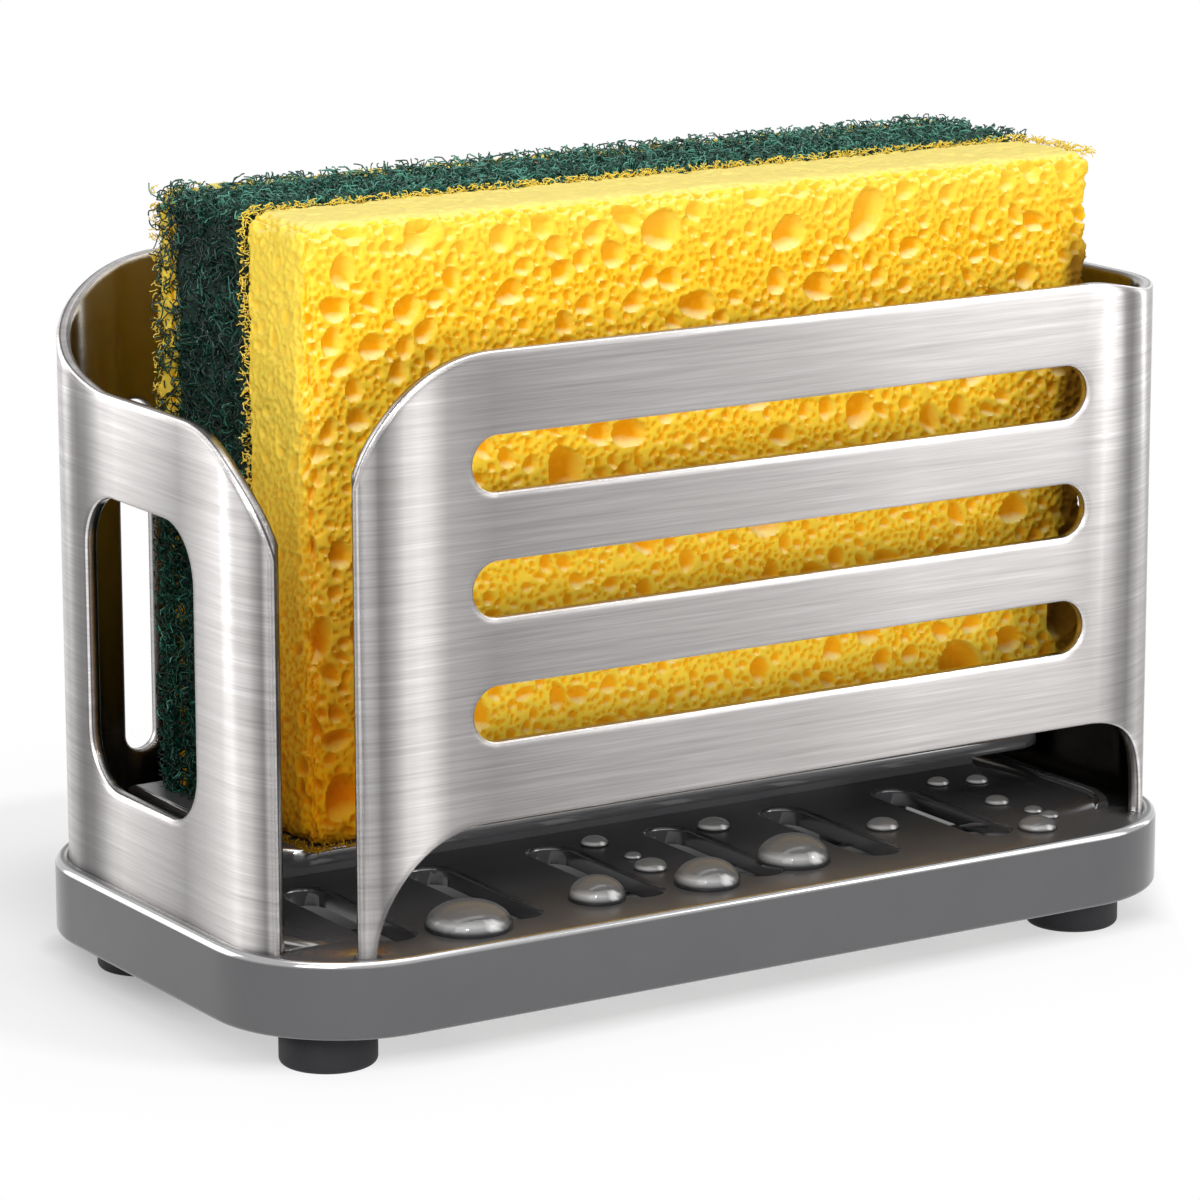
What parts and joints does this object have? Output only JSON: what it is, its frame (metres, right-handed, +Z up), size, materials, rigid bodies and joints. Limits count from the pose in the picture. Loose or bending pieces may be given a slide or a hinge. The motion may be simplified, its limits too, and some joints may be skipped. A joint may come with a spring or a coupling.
{
  "type": "sponge holder",
  "caption": "Countertop sponge holder: a bent brushed-steel shell with slots and an open corner, standing in a slotted drip tray on feet, with a layered scrub sponge on a low rest.",
  "frame": {"origin": "on the ground plane under the middle of the tray", "axes": "+X along the holder's length to the right, +Y from the slotted front to the back, +Z up"},
  "size_m": [0.1438, 0.0768, 0.1051],
  "materials": {
    "steel": "fine brushing along the wrap, polished cut edges",
    "tray_plastic": "smooth moulded, semi-gloss",
    "foot_rubber": "matt",
    "yellow_foam": "open-pored foam",
    "green_fibre": "tangled scouring fibre"
  },
  "bodies": {
    "tray": {"drip_tray": "tray_plastic", "foot_front_left": "foot_rubber", "foot_front_right": "foot_rubber", "foot_back_left": "foot_rubber", "foot_back_right": "foot_rubber"},
    "shell": {"steel_shell": "steel"},
    "rest": {"sponge_rest": "tray_plastic"},
    "sponge": {"sponge_foam": "yellow_foam", "scouring_pad": "green_fibre", "sponge_backing": "yellow_foam"}
  },
  "joints": [
    {"name": "shell_lift", "type": "slide", "parent": "tray", "child": "shell", "axis": [0, 0, 1], "range_m": [0, 0.1]},
    {"name": "rest_lift", "type": "slide", "parent": "tray", "child": "rest", "axis": [0, 0, 1], "range_m": [0, 0.085]},
    {"name": "sponge_lift", "type": "slide", "parent": "rest", "child": "sponge", "axis": [0, 0, 1], "range_m": [0, 0.08]}
  ]
}
